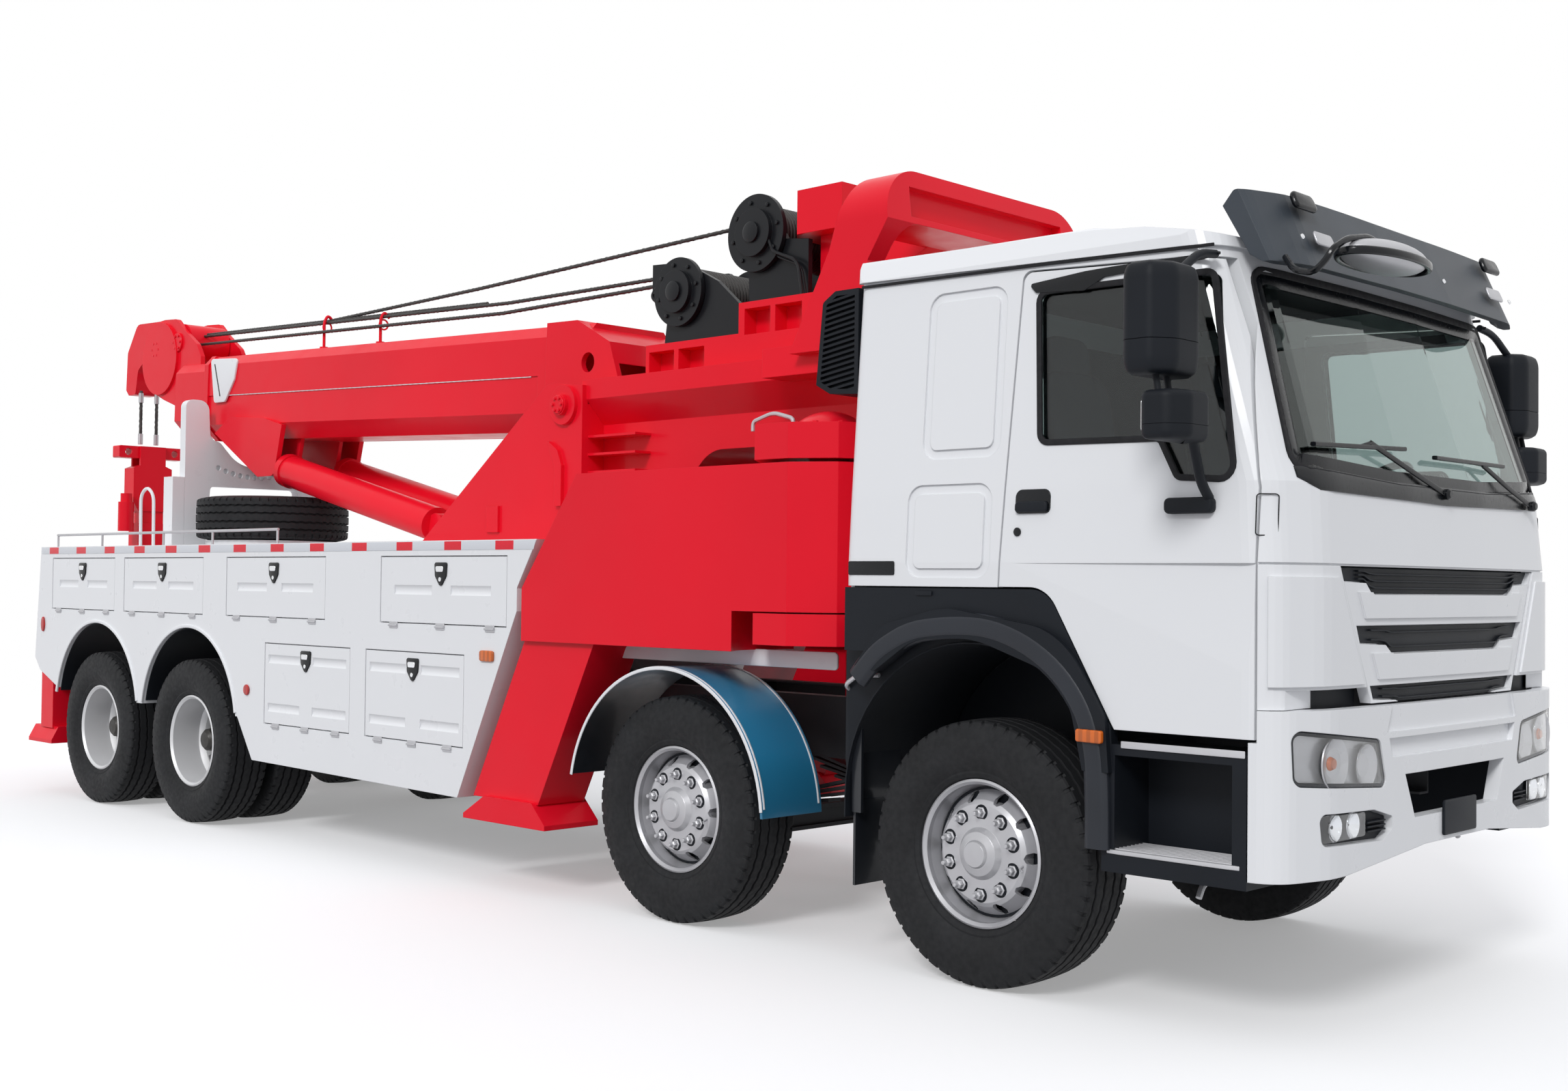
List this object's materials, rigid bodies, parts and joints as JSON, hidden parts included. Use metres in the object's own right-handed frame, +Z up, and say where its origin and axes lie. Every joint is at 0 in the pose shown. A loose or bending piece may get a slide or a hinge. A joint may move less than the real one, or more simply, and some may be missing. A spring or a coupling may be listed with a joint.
{
  "type": "heavy tow truck",
  "caption": "Four-axle heavy tow truck: sleeper cab, white tool body, red telescopic boom on a fixed turret, winches, swing-out outriggers and folding underlift.",
  "frame": {"origin": "on the ground, at the middle of the overall length and width", "axes": "+X forwards, +Y to the left, +Z up"},
  "size_m": [11.315, 3.368, 3.7142],
  "materials": {
    "white_paint": "gloss",
    "red_paint": "gloss",
    "black_steel": "satin",
    "black_plastic": "matte",
    "grey_plastic": "satin",
    "clear_glass": "clear",
    "tyre_rubber": "matte",
    "wheel_silver": "satin",
    "cab_trim": "matte",
    "cast_steel": "satin"
  },
  "bodies": {
    "truck": {"chassis_frame": "black_steel", "frame_members": "black_steel", "steered_axles": "cast_steel", "drive_axles": "cast_steel", "engine_block": "cast_steel", "cab_shell": "white_paint", "windscreen": "clear_glass", "sun_visor": "grey_plastic", "arches_and_steps": "black_plastic", "front_bumper": "white_paint", "cab_interior": "cab_trim", "mudguards": "black_plastic", "air_intake": "black_plastic", "tool_body": "white_paint", "locker_doors": "white_paint", "boom_cradle": "white_paint", "spare_tyre": "tyre_rubber", "turret": "red_paint", "winches": "black_steel", "underlift_post": "red_paint"},
    "knuckle_1_right": {"knuckle_1_right": "cast_steel"},
    "knuckle_1_left": {"knuckle_1_left": "cast_steel"},
    "knuckle_2_right": {"knuckle_2_right": "cast_steel"},
    "knuckle_2_left": {"knuckle_2_left": "cast_steel"},
    "wheel_1_right": {"wheel_1_right": "wheel_silver", "tyre_1_right": "tyre_rubber"},
    "wheel_1_left": {"wheel_1_left": "wheel_silver", "tyre_1_left": "tyre_rubber"},
    "wheel_2_right": {"wheel_2_right": "wheel_silver", "tyre_2_right": "tyre_rubber"},
    "wheel_2_left": {"wheel_2_left": "wheel_silver", "tyre_2_left": "tyre_rubber"},
    "wheel_3_right": {"wheel_3_right": "wheel_silver", "tyre_3_right": "tyre_rubber"},
    "wheel_3_left": {"wheel_3_left": "wheel_silver", "tyre_3_left": "tyre_rubber"},
    "wheel_4_right": {"wheel_4_right": "wheel_silver", "tyre_4_right": "tyre_rubber"},
    "wheel_4_left": {"wheel_4_left": "wheel_silver", "tyre_4_left": "tyre_rubber"},
    "door_right": {"cab_door_right": "white_paint", "door_glass_right": "clear_glass", "mirror_right": "black_plastic"},
    "door_left": {"cab_door_left": "white_paint", "door_glass_left": "clear_glass", "mirror_left": "black_plastic"},
    "front_flap": {"front_flap": "white_paint"},
    "boom_outer": {"boom_outer": "red_paint"},
    "boom_inner": {"boom_inner": "red_paint"},
    "lift_barrels": {"lift_barrels": "red_paint"},
    "lift_rods": {"lift_rods": "wheel_silver"},
    "outrigger_arm_right": {"outrigger_arm_right": "red_paint"},
    "outrigger_leg_right": {"outrigger_leg_right": "red_paint"},
    "rear_jack_right": {"rear_jack_right": "red_paint"},
    "outrigger_arm_left": {"outrigger_arm_left": "red_paint"},
    "outrigger_leg_left": {"outrigger_leg_left": "red_paint"},
    "rear_jack_left": {"rear_jack_left": "red_paint"},
    "underlift_arm": {"underlift_arm": "red_paint"},
    "underlift_slider": {"underlift_slider": "red_paint"},
    "underlift_crossbar": {"underlift_crossbar": "red_paint"}
  },
  "joints": [
    {"name": "steer_1_right", "type": "hinge", "parent": "truck", "child": "knuckle_1_right", "pos_m": [4.2025, -0.86, 0.536], "axis": [0, 0, 1], "range_deg": [-38, 38]},
    {"name": "steer_1_left", "type": "hinge", "parent": "truck", "child": "knuckle_1_left", "pos_m": [4.2025, 0.86, 0.536], "axis": [0, 0, 1], "range_deg": [-38, 38]},
    {"name": "steer_2_right", "type": "hinge", "parent": "truck", "child": "knuckle_2_right", "pos_m": [2.4025, -0.86, 0.536], "axis": [0, 0, 1], "range_deg": [-29, 29]},
    {"name": "steer_2_left", "type": "hinge", "parent": "truck", "child": "knuckle_2_left", "pos_m": [2.4025, 0.86, 0.536], "axis": [0, 0, 1], "range_deg": [-29, 29]},
    {"name": "spin_1_right", "type": "hinge", "parent": "knuckle_1_right", "child": "wheel_1_right", "pos_m": [4.2025, -1.015, 0.536], "axis": [0, 1, 0], "continuous": true},
    {"name": "spin_1_left", "type": "hinge", "parent": "knuckle_1_left", "child": "wheel_1_left", "pos_m": [4.2025, 1.015, 0.536], "axis": [0, 1, 0], "continuous": true},
    {"name": "spin_2_right", "type": "hinge", "parent": "knuckle_2_right", "child": "wheel_2_right", "pos_m": [2.4025, -1.015, 0.536], "axis": [0, 1, 0], "continuous": true},
    {"name": "spin_2_left", "type": "hinge", "parent": "knuckle_2_left", "child": "wheel_2_left", "pos_m": [2.4025, 1.015, 0.536], "axis": [0, 1, 0], "continuous": true},
    {"name": "spin_3_right", "type": "hinge", "parent": "truck", "child": "wheel_3_right", "pos_m": [-2.2075, -0.915, 0.536], "axis": [0, 1, 0], "continuous": true},
    {"name": "spin_3_left", "type": "hinge", "parent": "truck", "child": "wheel_3_left", "pos_m": [-2.2075, 0.915, 0.536], "axis": [0, 1, 0], "continuous": true},
    {"name": "spin_4_right", "type": "hinge", "parent": "truck", "child": "wheel_4_right", "pos_m": [-3.5575, -0.915, 0.536], "axis": [0, 1, 0], "continuous": true},
    {"name": "spin_4_left", "type": "hinge", "parent": "truck", "child": "wheel_4_left", "pos_m": [-3.5575, 0.915, 0.536], "axis": [0, 1, 0], "continuous": true},
    {"name": "door_right_hinge", "type": "hinge", "parent": "truck", "child": "door_right", "pos_m": [5.4545, -1.248, 1.9], "axis": [0, 0, 1], "range_deg": [0, 70]},
    {"name": "door_left_hinge", "type": "hinge", "parent": "truck", "child": "door_left", "pos_m": [5.4545, 1.248, 1.9], "axis": [0, 0, -1], "range_deg": [0, 70]},
    {"name": "front_flap_hinge", "type": "hinge", "parent": "truck", "child": "front_flap", "pos_m": [5.6145, 0, 1.934], "axis": [0, -1, 0], "range_deg": [0, 75]},
    {"name": "boom_luff", "type": "hinge", "parent": "truck", "child": "boom_outer", "pos_m": [0.8025, 0, 2.6], "axis": [0, 1, 0], "range_deg": [0, 55]},
    {"name": "boom_extend", "type": "slide", "parent": "boom_outer", "child": "boom_inner", "axis": [-0.9993, 0, 0.0384], "range_m": [0, 3]},
    {"name": "lift_tilt", "type": "hinge", "parent": "truck", "child": "lift_barrels", "pos_m": [-0.8275, 0, 1.95], "axis": [0, 1, 0], "range_deg": [0, 67.72]},
    {"name": "lift_stroke", "type": "slide", "parent": "lift_barrels", "child": "lift_rods", "axis": [-0.9753, 0, 0.221], "range_m": [0, 1.522]},
    {"name": "outrigger_swing_right", "type": "hinge", "parent": "truck", "child": "outrigger_arm_right", "pos_m": [3.2225, -0.98, 1.7], "axis": [0, 0, 1], "range_deg": [0, 90]},
    {"name": "outrigger_drop_right", "type": "slide", "parent": "outrigger_arm_right", "child": "outrigger_leg_right", "axis": [-0.454, 0, -0.891], "range_m": [0, 0.35]},
    {"name": "rear_jack_right_drop", "type": "slide", "parent": "truck", "child": "rear_jack_right", "axis": [0, 0, -1], "range_m": [0, 0.32]},
    {"name": "outrigger_swing_left", "type": "hinge", "parent": "truck", "child": "outrigger_arm_left", "pos_m": [3.2225, 0.98, 1.7], "axis": [0, 0, -1], "range_deg": [0, 90]},
    {"name": "outrigger_drop_left", "type": "slide", "parent": "outrigger_arm_left", "child": "outrigger_leg_left", "axis": [-0.454, 0, -0.891], "range_m": [0, 0.35]},
    {"name": "rear_jack_left_drop", "type": "slide", "parent": "truck", "child": "rear_jack_left", "axis": [0, 0, -1], "range_m": [0, 0.32]},
    {"name": "underlift_fold", "type": "hinge", "parent": "truck", "child": "underlift_arm", "pos_m": [-5.3575, 0, 0.79], "axis": [0, -1, 0], "range_deg": [0, 88]},
    {"name": "underlift_extend", "type": "slide", "parent": "underlift_arm", "child": "underlift_slider", "axis": [0, 0, 1], "range_m": [0, 0.8]},
    {"name": "crossbar_turn", "type": "hinge", "parent": "underlift_slider", "child": "underlift_crossbar", "pos_m": [-5.4125, 0, 2.64], "axis": [1, 0, 0], "range_deg": [-11, 11]}
  ],
  "couplings": [
    {"joint": "steer_1_left", "follows": "steer_1_right", "ratio": 1},
    {"joint": "steer_2_right", "follows": "steer_1_right", "ratio": 0.75},
    {"joint": "steer_2_left", "follows": "steer_1_right", "ratio": 0.75},
    {"joint": "lift_tilt", "follows": "boom_luff", "ratio": 1.2222},
    {"joint": "lift_stroke", "follows": "boom_luff", "m_per_rad": 1.5755},
    {"joint": "underlift_extend", "follows": "underlift_fold", "m_per_rad": 0.5}
  ]
}
